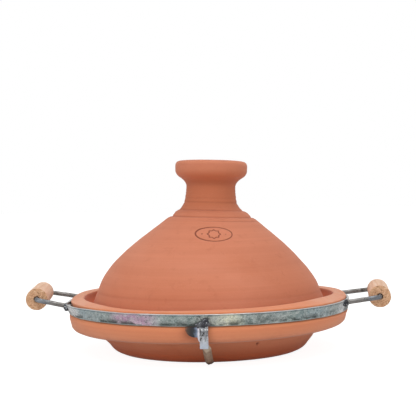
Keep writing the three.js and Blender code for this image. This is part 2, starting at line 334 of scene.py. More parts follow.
def make_dish():
    points = dish_outline()
    angles = angle_row(300, PIT_ANGLE, math.radians(3), 4)
    rings = turn_rings(points, angles)
    radius, height = points[:, :1], points[:, 1:]
    lines = throwing_lines(points, angles, 11, 0.16)
    behind_hoop = smoothstep(height, 40, 42) * smoothstep(-height, -56.4, -55.6) * (radius > 145)
    underneath = (height < 0.5) & (radius < 112)
    lines *= (1 - 0.9 * behind_hoop) * np.where(underneath, 0.15, 1)
    outer_wall = (radius > 112) & (height > 4) & (height < 26)
    gap = np.hypot((angles - PIT_ANGLE) * PIT_RADIUS, (height - PIT_HEIGHT) * 1.2)
    pit = outer_wall * smoothstep(-gap, -2.0, -0.7)
    move = lines - 1.1 * pit
    rings = rings + outward(points, angles) * move[..., None]
    below_hoop = smoothstep(height, 8, 24) * smoothstep(-height, -HOOP_BOTTOM + 0.5, -37) * (radius > 110)
    rings[..., 2] += 2.0 * below_hoop * np.cos(angles)
    rings[..., 0] *= 1 - below_hoop * (0.0068 + 0.002 * np.cos(angles))
    rings[..., 2] += rim_lift(height, radius, angles)
    rings[..., 2] = np.maximum(rings[..., 2], 0)
    piece = skin("dish_thrown", rings)
    # Painted shade on the rim's inner wall below its top edge, round the lid, and along the belt's lower
    # corner and under it.
    lip_shade = 0.33 * (radius < RIM_INNER + 0.3) * (radius > 130) * smoothstep(height, 48, 56)
    belt_shade = 0.3 * (radius > 124) * smoothstep(-height, -29, -26.5)
    # In the pit the dark is painted shade.
    mark(piece, "dark", np.maximum(pit, gusset_soot(height, angles)) + lip_shade + belt_shade)
    # Painted sheen on the rim's top at its left and right ends, where it turns away.
    mark(piece, "painted_rim_sheen", smoothstep(height, 55.5, 57.2) * smoothstep(np.abs(np.cos(angles)), 0.6, 0.9))
    return piece


def lid_cone():
    knots = [(51, 143.2), (67.8, 129.9), (84, 116.5), (98, 103), (109.8, 89.6), (118.7, 76.2), (124.6, 62)]
    return [np.array(knot, float) for knot in knots + [(LID_RADIUS - 1, 49)]]


def lid_outline():
    """The lid's outline: up the hollow, round the edge, then up the cone, collar, neck and knob.
    It is drawn the other way, from the knob's cup outwards and down, and turned round at the end."""
    line = Outline((1.5, KNOB_TOP - 9), 1.8)
    line.curve(18, KNOB_TOP - 9, 27, KNOB_TOP - 2).curve(28.5, KNOB_TOP, 31, KNOB_TOP)
    line.spacing = 1.0
    line.line(KNOB_RADIUS - 5.5, KNOB_TOP - 0.3)
    line.curve(KNOB_RADIUS, KNOB_TOP - 0.8, KNOB_RADIUS, KNOB_TOP - 6.2)
    line.line(KNOB_RADIUS - 0.2, KNOB_TOP - 11.5)
    line.curve(KNOB_RADIUS - 0.8, KNOB_TOP - 16.3, KNOB_RADIUS - 6, KNOB_TOP - 19.2)
    line.curve(NECK_RADIUS + 1, KNOB_TOP - 23, NECK_RADIUS, 180).curve(NECK_RADIUS, 165, 30.8, 158.5)
    line.spacing = 0.6
    line.curve(33, 154.5, 37, 152.6).line(41.4, 150.4)
    line.line(45.7, 146.2).line(47.1, 145.5).line(51, 143.2)
    cone = lid_cone()
    line.along(lambda t: spline_point(cone, t * 0.3))
    line.spacing = 1.0
    line.along(lambda t: spline_point(cone, 0.3 + 0.7 * t))
    line.curve(LID_RADIUS, LID_SEAT, LID_RADIUS - 3.5, LID_SEAT).line(LID_RADIUS - 8, LID_SEAT)
    line.curve(LID_RADIUS - 11, LID_SEAT, LID_RADIUS - 11.5, LID_SEAT + 4)
    line.spacing = 2.6

    def inner(t):
        place, ahead = spline_point(cone, 1 - t), spline_point(cone, max(0.99 - t, 0))
        way = (place - ahead) / np.linalg.norm(place - ahead)
        return place + LID_WALL * np.array([way[1], -way[0]])

    line.along(lambda t: inner(0.05 + 0.9 * t))
    line.line(NECK_BORE + 4, 158).curve(NECK_BORE, 163, NECK_BORE, 170).line(NECK_BORE, 177)
    line.curve(NECK_BORE - 1, 184, 1.5, 184.5)
    return line.array()[::-1]


def press_left(rings):
    """The lid isn't quite round: its left shoulder is flatter, most just below the collar."""
    radius = np.hypot(rings[..., 0], rings[..., 1])
    press = smoothstep(rings[..., 2], 72, 135) * smoothstep(-rings[..., 2], -158, -146)
    press = press * smoothstep(-rings[..., 0] / np.maximum(radius, 1), 0.1, 1)
    pressed = rings.copy()
    pressed[..., :2] *= (1 - SHOULDER_PRESS * press / np.maximum(radius, 1))[..., None]
    return pressed


def lean(rings):
    """The lid isn't quite true: it leans towards +X, more and more up to LEAN_HEIGHT above its seat."""
    rise = rings[..., 2] - LID_SEAT
    tilt = LID_LEAN * smoothstep(rise, 0, LEAN_HEIGHT)
    leaning = rings.copy()
    leaning[..., 0] += LID_LEAN * rise * smoothstep(rise, -LEAN_HEIGHT, LEAN_HEIGHT)
    leaning[..., 2] -= tilt * rings[..., 0]
    return leaning


def star_distance(x, y, radius):
    """Distance to the outline of an eight-pointed star, two squares laid over each other."""
    inner = radius * math.cos(TAU / 8) / math.cos(TAU / 16)
    corners = [(radius if k % 2 == 0 else inner, TAU * k / 16) for k in range(16)]
    corners = [np.array([size * math.cos(turn), size * math.sin(turn)]) for size, turn in corners]
    nearest = np.full(np.broadcast(x, y).shape, np.inf)
    for start, end in zip(corners, corners[1:] + corners[:1]):
        side = end - start
        t = np.clip(((x - start[0]) * side[0] + (y - start[1]) * side[1]) / (side @ side), 0, 1)
        nearest = np.minimum(nearest, np.hypot(x - start[0] - t * side[0], y - start[1] - t * side[1]))
    return nearest


def oval_distance(x, y, width, depth):
    """Distance to an oval line, near enough close to it."""
    a, b = width / 2, depth / 2
    f = np.sqrt((x / a) ** 2 + (y / b) ** 2) + 1e-9
    return f * np.abs(f - 1) / np.sqrt((x / a ** 2) ** 2 + (y / b ** 2) ** 2 + 1e-12)


def stamp_depth(points, angles):
    """How deep the potter's plain mark, a star in an oval, is pressed in, 0 to 1, over the lid's grid."""
    place = run_along(points)
    outside = np.arange(len(points)) > np.argmax(points[:, 0])
    centre = np.argmin(np.abs(points[:, 1] - STAMP_HEIGHT) + 999 * ~outside)
    down = (place - place[centre])[:, None]
    across = (angles - STAMP_ANGLE) * points[:, :1]
    line = 0.55 + 0.3 * smoothstep(-across, 0, 18)
    star = star_distance(across, down, STAR_RADIUS)
    nearest = np.minimum(star, oval_distance(across, down, STAMP_WIDTH, STAMP_DEPTH))
    for sign in (-1, 1):
        nearest = np.minimum(nearest, np.hypot(across - sign * 12.5, down))
    return smoothstep(-nearest, -line - 0.25, -line + 0.3) * outside[:, None]


def groove(height, centre, width, depth):
    return depth * np.exp(-(((height - centre) / width) ** 2))


def make_lid():
    points = lid_outline()
    angles = angle_row(280, STAMP_ANGLE, math.radians(16), 4.2)
    rings = turn_rings(points, angles)
    height = points[:, 1:]
    outside = (np.arange(len(points)) > np.argmax(points[:, 0]))[:, None]
    stamp = stamp_depth(points, angles)
    lines = throwing_lines(points, angles, 5, 0.07)
    neck = smoothstep(height, 146, 156) * smoothstep(-height, -182, -172)
    climb = height + 1.2 * angles / TAU
    lines += 0.1 * neck * waves(climb, 31, 8, 3, 7)
    seat = height < LID_SEAT + 0.6
    cut = groove(climb, 63.5, 1.8, 0.22) + groove(height, 145.9, 0.6, 0.9) + groove(climb, 152.9, 0.6, 0.7)
    cut = cut + groove(climb, 161.4, 0.8, 0.6) + groove(climb, 165.6, 0.7, 0.3)
    broken = smoothstep(np.cos(angles + math.radians(52)), 0.55, 0.9)
    cut = outside * (cut + groove(height, 141.6, 0.5, 0.7) * broken)
    move = np.where(seat, 0, lines) - cut - 0.45 * stamp
    rings = rings + outward(points, angles) * move[..., None]
    piece = skin("lid_thrown", lean(press_left(rings)))
    # Painted shade under the knob, on the top of the neck.
    knob_shade = 0.26 * outside * np.exp(-(((height - 183.6) / 4) ** 2))
    # Painted shade: the lid's lower right side is painted a little darker.
    shaded_side = smoothstep(np.cos(angles - SHADED_SIDE_ANGLE), 0.75, 0.95) * smoothstep(-height, -125, -95)
    # The stamp's lines take their own dark colour; the grooves get painted shade.
    cuts = np.maximum(stamp, 0.35 * np.minimum(cut, 1))
    mark(piece, "dark", cuts + knob_shade + 0.07 * outside * shaded_side)
    return piece


# ---------------------------------------------------------------- steel
def hoop_out(angle, height):
    """How far the hoop's bar leans out: a little all round, and more where the left handle pulled it."""
    past = wrapped(angle - BULGE_ANGLE)
    reach = np.where(past > 0, BULGE_AHEAD, BULGE_BEHIND)
    pull = HOOP_BULGE * (1 - smoothstep(np.abs(past) / reach, 0.25, 1))
    return (HOOP_SPLAY + pull) * (height - HOOP_BOTTOM) / (HOOP_TOP - HOOP_BOTTOM)


def rounded_section(low, high, radius, corner_steps, side_steps):
    """A rectangle's outline with round corners and evenly split sides, anticlockwise."""
    (x0, y0), (x1, y1) = low, high
    centres = [(x1 - radius, y0 + radius), (x1 - radius, y1 - radius), (x0 + radius, y1 - radius)]
    centres.append((x0 + radius, y0 + radius))
    points = []
    for quarter, (cx, cy) in enumerate(centres):
        start = TAU / 4 * (quarter - 1)
        for turn in np.linspace(start, start + TAU / 4, corner_steps + 1):
            points.append((cx + radius * math.cos(turn), cy + radius * math.sin(turn)))
        following = centres[(quarter + 1) % 4]
        turn = start + TAU / 4
        end = (following[0] + radius * math.cos(turn), following[1] + radius * math.sin(turn))
        last = points[-1]
        count = side_steps[quarter]
        for t in np.arange(1, count) / count:
            points.append((last[0] + (end[0] - last[0]) * t, last[1] + (end[1] - last[1]) * t))
    return np.array(points)


def make_hoop():
    low, high = (HOOP_INNER, HOOP_BOTTOM), (HOOP_INNER + HOOP_THICK, HOOP_TOP)
    section = rounded_section(low, high, 0.45, 3, (8, 2, 8, 2))
    angles = np.linspace(-math.pi, math.pi, 420, endpoint=False)
    radius = section[:, 0][None, :] + hoop_out(angles[:, None], section[:, 1][None, :])
    height = np.repeat(section[:, 1][None, :], len(angles), axis=0)
    face = (section[:, 0] > HOOP_INNER + HOOP_THICK - 0.3)[None, :]
    dents = waves(angles[:, None] * 155 + height * 0.7, 3, 14, 9, 60) * 0.09
    edge = waves(angles[:, None] * 155, 4, 10, 15, 90) * 0.12
    radius = radius + face * dents
    height = height + edge * smoothstep(np.abs(height - (HOOP_TOP + HOOP_BOTTOM) / 2), 4, 6)
    rings = np.stack([radius * np.cos(angles)[:, None], radius * np.sin(angles)[:, None], height], -1)
    piece = skin("hoop_bar", rings, joined=True)
    arm = math.asin(ARM_SPACING / 2 / HOOP_INNER)
    welds = [turn - TAU / 4 for turn in LEG_TURNS.values()] + [math.pi - arm, arm - math.pi, arm, -arm]
    past = [np.abs(wrapped(angles - weld)) * HOOP_INNER for weld in welds]
    smoke = smoothstep(-np.min(past, axis=0), -10, -3)
    mark(piece, "smoke", np.repeat(smoke[:, None], len(section), axis=1))
    return piece


def along_path(points, reference=(0, 0, 1)):
    """Unit tangents of a path and two steady directions across it, the first square to reference."""
    way = np.gradient(points, axis=0)
    way /= np.linalg.norm(way, axis=1)[:, None]
    side = np.cross(way, reference)
    side /= np.linalg.norm(side, axis=1)[:, None]
    return way, side, np.cross(side, way)


def grip_place(side):
    return np.array([side * GRIP_CENTRE, 0, GRIP_HEIGHT - side * GRIP_TILT])


def handle_path(side, spacing):
    """The rod's line from the hoop, round through the grip, and back to the hoop."""
    half = ARM_SPACING / 2
    across = np.array([side * math.sin(GRIP_SPLAY), math.cos(GRIP_SPLAY), 0])
    corners = [grip_place(side) + across * sign * half / math.cos(GRIP_SPLAY) for sign in (-1, 1)]
    root = side * math.sqrt((HOOP_INNER + 1.2) ** 2 - half ** 2)
    stops = [np.array([root, -half, WELD_HEIGHT]), *corners, np.array([root, half, WELD_HEIGHT])]
    line = Outline(stops[0], spacing)
    for before, at, after in zip(stops, stops[1:], stops[2:]):
        start = at + ROD_BEND * (before - at) / np.linalg.norm(before - at)
        end = at + ROD_BEND * (after - at) / np.linalg.norm(after - at)
        line.line(*start)
        line.along(curved(start, at, end))
    line.line(*stops[-1])
    return line.array()


def make_rod(name, side):
    path = handle_path(side, 1.6)
    _, flat, up = along_path(path)
    turn = np.linspace(0, TAU, 20, endpoint=False)
    place = np.arange(len(path))[:, None] * 1.6
    radius = ROD_RADIUS + 0.05 * waves(place + 4 * np.sin(turn)[None, :], 7 + side, 8, 6, 40)
    offset = flat[:, None, :] * np.cos(turn)[None, :, None] + up[:, None, :] * np.sin(turn)[None, :, None]
    piece = skin(f"{name}_rod_bent", path[:, None, :] + offset * radius[..., None])
    # Painted highlight: the front arms are paled blue-grey near the grips.
    painted_rod_highlight = smoothstep(np.abs(path[:, 0]), GRIP_CENTRE - 26, GRIP_CENTRE - 12) * (path[:, 1] < 0)
    mark(piece, "painted_rod_highlight", np.repeat(painted_rod_highlight[:, None], len(turn), axis=1))
    return piece


def grip_frame(side):
    """Places a grip, whose own Z runs along the rod, at its handle."""
    turned = Matrix.Rotation(-side * GRIP_SPLAY, 4, "Z") @ Matrix.Rotation(-TAU / 4, 4, "X")
    return Matrix.Translation(Vector(grip_place(side)) * MM) @ turned


def make_grip(name, side, seed):
    half = GRIP_LENGTH / 2
    section = Outline((GRIP_BORE, -half + 6), 1.2)
    section.line(GRIP_BORE, -half + 0.5).curve(GRIP_BORE, -half, GRIP_BORE + 0.5, -half)
    section.line(GRIP_RADIUS - 0.9, -half).curve(GRIP_RADIUS, -half, GRIP_RADIUS, -half + 0.9)
    section.spacing = 2.5
    section.line(GRIP_RADIUS, half - 0.9)
    section.spacing = 1.0
    section.curve(GRIP_RADIUS, half, GRIP_RADIUS - 0.9, half).line(GRIP_BORE + 0.5, half)
    section.curve(GRIP_BORE, half, GRIP_BORE, half - 0.5).line(GRIP_BORE, half - 6)
    section.spacing = 7
    section.line(GRIP_BORE, -half + 6)
    points = section.array()[:-1]
    angles = np.linspace(-math.pi, math.pi, 72, endpoint=False)
    rings = turn_rings(points, angles)
    radius, height = points[:, :1], points[:, 1:]
    on_end = np.abs(np.abs(height) - half) < 0.45
    sawn = 0.14 * waves(rings[..., 0] * 1.6 + rings[..., 1] * 0.5, seed, 8, 1.6, 7)
    torn = 0.1 * waves(rings[..., 1] * 2.3 - rings[..., 0], seed + 1, 6, 2, 5)
    rings[..., 2] -= np.sign(height) * on_end * np.abs(sawn + torn)
    hand_cut = 0.1 * waves(angles * 9 + height * 0.05, seed + 2, 7, 5, 40)
    rings[..., :2] *= 1 + ((radius > GRIP_RADIUS - 0.5) * hand_cut / GRIP_RADIUS)[..., None]
    piece = skin(f"{name}_grip_dowel", rings, joined=True)
    sawn_or_bored = on_end | (radius < GRIP_BORE + 0.3)
    mark(piece, "end", np.broadcast_to(sawn_or_bored, rings.shape[:2]))
    piece.matrix_world = grip_frame(side)
    return piece


def bead(name, centre, size, lump, seed):
    """A lumpy ball of weld metal, squashed along the pot's radius, with ripples of the moving arc."""
    rows, columns = 40, 56
    tilt = np.linspace(0.04, math.pi - 0.04, rows)[:, None]
    turn = np.linspace(0, TAU, columns, endpoint=False)[None, :]
    unit = np.stack([np.sin(tilt) * np.cos(turn), np.sin(tilt) * np.sin(turn), np.cos(tilt) + 0 * turn], -1)
    swell = np.ones((rows, columns))
    for row in range(rows):
        for column in range(columns):
            spot = Vector(unit[row, column]) + Vector((seed, seed * 0.7, -seed))
            coarse = noise.noise(spot * 1.9)
            fine = noise.noise(spot * 5.5)
            swell[row, column] = 1 + lump * (0.9 * coarse + 0.35 * fine)
    ripple = 0.03 * np.sin(unit[..., 1] * 15 + 3 * unit[..., 2])
    points = unit * (swell + ripple)[..., None] * np.array(size)
    out = math.atan2(centre[1], centre[0])
    spin = np.array([[math.cos(out), -math.sin(out), 0], [math.sin(out), math.cos(out), 0], [0, 0, 1]])
    return skin(name, points @ spin.T + np.array(centre))


def make_handle_weld(name, side, place, sign):
    """The bead at an arm's end. The right front one was laid further along the hoop."""
    half = ARM_SPACING / 2
    spread = 3.4 if (side, sign) == (1, -1) else 0.0
    angle = math.atan2(sign * (half + spread), side * math.sqrt(HOOP_INNER ** 2 - half ** 2))
    outer = HOOP_INNER + HOOP_THICK + float(hoop_out(angle, WELD_HEIGHT))
    centre = (outer * math.cos(angle), outer * math.sin(angle), WELD_HEIGHT - 0.2)
    return bead(f"{name}_{place}_bead", centre, (3.2, 5.0 + spread, 3.7), 0.3, 3.1 + side + 0.37 * sign)


def spin_leg(piece, turn):
    piece.data.transform(Matrix.Rotation(turn, 4, "Z"))
    return piece


def bar_rings(start, end, section, count):
    """Rings of a straight bar from start to end, its section kept square to it."""
    steps = np.linspace(0, 1, count)[:, None]
    path = start + (end - start) * steps
    _, side, out = along_path(path, (0, -1, 0))
    offset = side[:, None, :] * section[None, :, 0, None] + out[:, None, :] * section[None, :, 1, None]
    return path[:, None, :] + offset


def stroke(x, y, start, end, width):
    """1 on the line from start to end, falling to 0 at width from it."""
    start, side = np.array(start), np.array(end) - np.array(start)
    t = np.clip(((x - start[0]) * side[0] + (y - start[1]) * side[1]) / (side @ side), 0, 1)
    gap = np.hypot(x - start[0] - t * side[0], y - start[1] - t * side[1])
    return smoothstep(-gap, -width, -0.4 * width)


def make_tab(name, turn):
    """The flat bar on the hoop: sheared ends, eased edges, and a slight wave along its face."""
    half = TAB_WIDTH / 2
    section = rounded_section((-half, -TAB_THICK / 2), (half, TAB_THICK / 2), 0.4, 3, (2, 24, 2, 24))
    middle = -(TAB_FACE + TAB_THICK / 2)
    rings = bar_rings(np.array([0, middle, TAB_BOTTOM]), np.array([0, middle, TAB_TOP - 2]), section, 90)
    height = rings[..., 2]
    rings[..., 1] += 0.08 * waves(height + rings[..., 0], 17, 6, 5, 20)
    rings[..., 0] += 0.08 * waves(height, 18, 5, 6, 25)
    rings[..., 0] *= 1 - 0.06 * smoothstep(-height, -TAB_BOTTOM - 0.5, -TAB_BOTTOM)
    piece = skin(f"{name}_tab_flat", rings)
    across, up = rings[..., 0], rings[..., 2]
    gash = stroke(across, up, (0.9, 40), (-3.6, 31.5), 1.1)
    gash += stroke(across, up, (-3.6, 42), (-3.3, 36), 0.8)
    gash += 0.5 * stroke(across, up, (3.2, 38), (1.2, 30.5), 0.6)
    mark(piece, "gash", np.minimum(gash, 1))
    # Three small painted highlights under the weld.
    glare = sum(stroke(across, up, (x, 41.4), (x + 0.6, 41), 0.7) for x in (-2.2, 1.2, 3.1))
    mark(piece, "glare", glare)
    return spin_leg(piece, turn)


def make_gusset(name, turn):
    """The half-round plate under the hoop, dished a little, with a lip that runs down beside the tab."""
    rows = np.linspace(0.03, 1, 16)
    arc = np.linspace(math.pi, TAU, 40)
    rim = np.column_stack([np.cos(arc), np.sin(arc)]) * GUSSET_RADIUS
    rim[:, 1] -= 5.5 * smoothstep(rim[:, 0], 2.2, 4.2) * (rim[:, 1] < -2)
    flat_side = np.column_stack([np.linspace(1, -1, 26)[1:-1] * GUSSET_RADIUS, np.zeros(24)])
    outline = np.vstack([rim, flat_side])
    centre = np.array([0, -GUSSET_RADIUS * 0.42])
    faces = []
    for depth, sizes in ((0.0, rows), (GUSSET_THICK, rows[::-1])):
        for size in sizes:
            eased = size * (1 - 0.03 * (size > 0.99))
            flat = centre + (outline - centre) * eased
            back = np.full(len(flat), depth)
            faces.append(np.column_stack([flat[:, 0], back, flat[:, 1]]))
    rings = np.array(faces)
    rings[..., 1] += 0.35 * ((rings[..., 0] - GUSSET_RADIUS) / (2 * GUSSET_RADIUS)) ** 2
    rings += np.array([-GUSSET_OFFSET, -(RIM_BULGE + 0.45 + GUSSET_THICK), HOOP_BOTTOM - 0.1])
    return spin_leg(skin(f"{name}_gusset_plate", rings), turn)


def make_leg_bar(name, turn):
    """The square bar, turned so that an edge faces out, slanting in under the rim to the floor."""
    half = LEG_SECTION / 2
    square = rounded_section((-half, -half), (half, half), 0.6, 3, (5, 5, 5, 5))
    spun = np.array([[math.cos(LEG_TURN), -math.sin(LEG_TURN)], [math.sin(LEG_TURN), math.cos(LEG_TURN)]])
    top, foot = np.array([2.3, -155, 23.3]), np.array([3.2, -115.9, 4.15])
    slope = (foot - top) / np.linalg.norm(foot - top)
    rings = bar_rings(top - slope * 1.5, foot + slope * 3, square @ spun.T, 34)
    rings[..., 2] = np.maximum(rings[..., 2], 1.0)
    rings[..., 1] = np.maximum(rings[..., 1], -(TAB_FACE - 0.2))
    return spin_leg(skin(f"{name}_leg_square_bar", rings), turn)


def make_leg_weld(name, turn, seed):
    """A bead that is wide at the hoop's lower edge and narrow above, up over the tab's end."""
    piece = bead(f"{name}_leg_bead", (0, -(TAB_FACE + 0.4), 46.8), (3.3, 7.4, 4.8), 0.3, seed)
    for vertex in piece.data.vertices:
        upper = float(smoothstep(vertex.co.z / MM, 45.5, 49.5))
        vertex.co.x = vertex.co.x * (1 - 0.5 * upper) + (-1.5 + 2.6 * upper) * MM
    return spin_leg(piece, turn)


# ---------------------------------------------------------------- materials
def rgb(red, green, blue):
    """A colour given as it looks on a screen, 0 to 255, as the shader's linear colour."""
    linear = [((c / 255 + 0.055) / 1.055) ** 2.4 if c > 10 else c / 255 / 12.92 for c in (red, green, blue)]
    return (*linear, 1.0)


class Look:
    """A material and short ways to add nodes to it."""

    def __init__(self, name):
        self.material = bpy.data.materials.new(name)
        self.material.use_nodes = True
        self.tree = self.material.node_tree
        self.shader = self.tree.nodes["Principled BSDF"]

    def node(self, kind, inputs, **settings):
        made = self.tree.nodes.new(kind)
        for key, value in settings.items():
            setattr(made, key, value)
        for key, value in inputs.items():
            self.set(made.inputs[key], value)
        return made

    def set(self, socket, value):
        if isinstance(value, bpy.types.NodeSocket):
            self.tree.links.new(value, socket)
        else:
            socket.default_value = value

    def place(self, scale=(1, 1, 1), turn=(0, 0, 0)):
        """The point on the piece, in metres in the piece's own space, turned and then times scale."""
        point = self.tree.nodes.new("ShaderNodeTexCoord").outputs["Object"]
        if turn != (0, 0, 0):
            point = self.node("ShaderNodeMapping", {"Vector": point, "Rotation": turn}).outputs[0]
        return self.node("ShaderNodeMapping", {"Vector": point, "Scale": scale}).outputs[0]

    def noise(self, place, scale, detail=3, rough=0.5, bend=0):
        inputs = {"Vector": place, "Scale": scale, "Detail": detail, "Roughness": rough, "Distortion": bend}
        return self.node("ShaderNodeTexNoise", inputs).outputs["Fac"]

    def cells(self, place, scale, output="Color"):
        return self.node("ShaderNodeTexVoronoi", {"Vector": place, "Scale": scale}).outputs[output]

    def math(self, operation, a, b=0.0):
        return self.node("ShaderNodeMath", {0: a, 1: b}, operation=operation).outputs[0]

    def times(self, a, b):
        return self.math("MULTIPLY", a, b)

    def between(self, value, low, high, out_low=0.0, out_high=1.0):
        inputs = {"Value": value, "From Min": low, "From Max": high, "To Min": out_low, "To Max": out_high}
        return self.node("ShaderNodeMapRange", inputs).outputs["Result"]

    def mix(self, factor, a, b, blend="MIX"):
        made = self.node("ShaderNodeMix", {}, data_type="RGBA", blend_type=blend)
        self.set(made.inputs[0], factor)
        self.set(made.inputs[6], a)
        self.set(made.inputs[7], b)
        return made.outputs[2]

    def ramp(self, value, stops):
        made = self.node("ShaderNodeValToRGB", {"Fac": value})
        marks = made.color_ramp.elements
        while len(marks) < len(stops):
            marks.new(0.5)
        for element, (position, colour) in zip(marks, stops):
            element.position = position
            element.color = colour
        return made.outputs["Color"]

    def split(self, place):
        return self.node("ShaderNodeSeparateXYZ", {"Vector": place}).outputs

    def marked(self, name):
        return self.node("ShaderNodeAttribute", {}, attribute_name=name).outputs["Fac"]

    def bump(self, height, distance, strength, normal=None):
        inputs = {"Height": height, "Distance": distance, "Strength": strength}
        if normal is not None:
            inputs["Normal"] = normal
        return self.node("ShaderNodeBump", inputs).outputs["Normal"]

    def finish(self, **values):
        for key, value in values.items():
            self.set(self.shader.inputs[key.replace("_", " ")], value)
        return self.material


def clay_look(name, pale, middle, deep, zone_colour, zone_low, zone_high, bloom):
    """Bare clay from the kiln: soft clouds of tone, bands round the pot, fine drag lines, grit and pores.
    Between the two zone heights, in metres, it takes the zone colour, and it is browner
    at the foot. Bloom is how pale its powdery surface looks where it turns away."""
    look = Look(name)
    here = look.place()
    height = look.split(here)[2]
    clouds = look.noise(look.place((1, 1, 1.6)), 11, 4, 0.55, 0.6)
    bands = look.noise(look.place((1.5, 1.5, 80)), 1.1, 5, 0.6)
    drag = look.noise(look.place((3, 3, 480)), 1.0, 4, 0.65)
    grit = look.noise(here, 800, 2, 0.6)
    blots = look.noise(here, 95, 3, 0.6, 0.5)
    tone = look.mix(look.between(clouds, 0.34, 0.66), middle, pale)
    tone = look.mix(look.between(bands, 0.46, 0.7, 0, 0.24), tone, deep)
    tone = look.mix(look.between(blots, 0.58, 0.74, 0, 0.28), tone, deep)
    # The zone colour by height: on the lid it is painted shade on the neck and the knob's sides.
    rise = look.between(height, zone_low, zone_low + 0.01)
    fall = look.between(height, zone_high, zone_high - 0.012)
    zoned = look.times(rise, fall)
    zoned = look.times(zoned, look.between(clouds, 0.3, 0.7, 0.75, 1))
    tone = look.mix(zoned, tone, zone_colour)
    tone = look.mix(look.between(height, 0.021, 0.003), tone, rgb(200, 98, 54))
    tone = look.mix(look.between(drag, 0.35, 0.72, 0.0, 0.16), tone, deep)
    tone = look.mix(look.between(grit, 0.64, 0.8, 0, 0.3), tone, deep)
    tone = look.mix(look.between(grit, 0.36, 0.24, 0, 0.2), tone, rgb(238, 184, 152))
    # Painted sheen: the rim's top is paled at its left and right ends.
    rim_sheen = look.times(look.marked("painted_rim_sheen"), look.between(blots, 0.35, 0.6, 0.2, 0.6))
    tone = look.mix(rim_sheen, tone, rgb(234, 182, 156))
    # The dark mark carries the stamp's own colour and the smoke near the gussets, and painted shade: in the
    # lid's grooves, under its knob, on its lower right side, under the dish's lip and belt, and in its pit.
    tone = look.mix(look.times(look.marked("dark"), 0.85), tone, rgb(112, 42, 22))
    normal = look.bump(look.noise(here, 650, 4, 0.6), 0.0001, 0.5)
    normal = look.bump(look.between(look.cells(here, 520, "Distance"), 0.0, 0.3), 0.0001, 0.2, normal)
    normal = look.bump(drag, 0.00016, 0.5, normal)
    rough = look.between(clouds, 0.3, 0.7, 0.8, 0.66)
    return look.finish(
        Base_Color=tone, Roughness=rough, Specular_IOR_Level=0.4, Normal=normal,
        Sheen_Weight=bloom, Sheen_Tint=rgb(255, 240, 228), Sheen_Roughness=0.45)


def hoop_look():
    """Rolled bar, galvanised and then heated: a ring of tints, a mottled skin, smears and scratches, and
    painted highlights on its top face, its lower edge and in two places round the ring.
    """
    look = Look("hoop_steel")
    here = look.place()
    x, y, z = look.split(here)[:3]
    angle = look.between(look.math("ARCTAN2", y, x), -math.pi, math.pi)
    grey, green, pale = rgb(160, 170, 169), rgb(141, 157, 153), rgb(242, 243, 246)
    straw, purple, blue = rgb(236, 236, 210), rgb(194, 150, 178), rgb(162, 181, 187)
    smoked, burnt, speckled = rgb(118, 129, 126), rgb(76, 82, 84), rgb(184, 188, 175)
    # The pale stops at -159 to -150 degrees and at -24 degrees are painted highlights on the hoop's face;
    # the other stops are its heat tints and soot.
    around = [(-180, burnt), (-162.5, burnt), (-159, pale), (-150, pale), (-145, blue), (-128, grey)]
    around += [(-123.5, purple), (-111.5, purple), (-106, grey), (-103, green), (-94, green)]
    around += [(-89, speckled), (-86, speckled), (-82, straw), (-79, straw), (-75, green), (-70, smoked)]
    around += [(-67, smoked), (-62.5, grey), (-57, green), (-44, blue), (-30, grey), (-24, pale), (0, grey)]
    around += [(25, straw), (52, purple), (70, blue), (110, grey), (132, straw), (150, blue)]
    tint = look.ramp(angle, [((degrees + 180) / 360, colour) for degrees, colour in around])
    wobble = look.noise(here, 60, 3, 0.6)
    spangle = look.cells(look.place((1, 1, 1.3)), 230)
    spangle = look.node("ShaderNodeSeparateColor", {"Color": spangle}).outputs[0]
    flecks = look.noise(here, 420, 3, 0.7)
    nicks = look.noise(look.place((1, 1, 2.5), (0.5, 0.3, 0)), 620, 3, 0.75)
    tone = look.mix(look.between(wobble, 0.35, 0.7, 0, 0.25), tint, grey)
    tone = look.mix(look.between(spangle, 0.2, 1.0, 0, 0.45), tone, rgb(214, 218, 214))
    tone = look.mix(look.between(flecks, 0.5, 0.64, 0, 0.55), tone, rgb(88, 98, 96))
    tone = look.mix(look.between(nicks, 0.56, 0.66, 0, 0.7), tone, rgb(240, 243, 242))
    tone = look.mix(look.between(nicks, 0.42, 0.34, 0, 0.55), tone, rgb(72, 80, 80))
    height = look.between(z, HOOP_BOTTOM * MM, HOOP_TOP * MM)
    patches = look.noise(look.place((1, 1, 2.2)), 75, 4, 0.65)
    low = look.times(look.between(height, 0.55, 0.16), look.between(patches, 0.43, 0.56))
    tone = look.mix(look.times(low, 0.9), tone, rgb(58, 66, 62))
    smoked_here = look.times(look.marked("smoke"), look.between(flecks, 0.42, 0.56))
    tone = look.mix(look.times(smoked_here, 0.75), tone, rgb(70, 70, 72))
    rim = look.times(look.between(height, 0.82, 0.9), look.between(height, 0.98, 0.94))
    tone = look.mix(look.times(rim, 0.5), tone, rgb(66, 92, 98))
    # Painted highlight: the top face and its corner are painted near white.
    tone = look.mix(look.between(height, 0.95, 0.98, 0, 0.9), tone, rgb(238, 241, 241))
    # Painted highlight: a paler line along the lower edge.
    tone = look.mix(look.between(height, 0.1, 0.05, 0, 0.6), tone, rgb(186, 198, 194))
    scratches = look.noise(look.place((6, 6, 900)), 1.0, 3, 0.7)
    normal = look.bump(spangle, 0.00006, 0.6)
    normal = look.bump(scratches, 0.00008, 0.5, normal)
    normal = look.bump(patches, 0.0002, 0.6, normal)
    rough = look.between(wobble, 0.3, 0.7, 0.36, 0.55)
    return look.finish(Base_Color=tone, Roughness=rough, Metallic=0.82, Normal=normal)


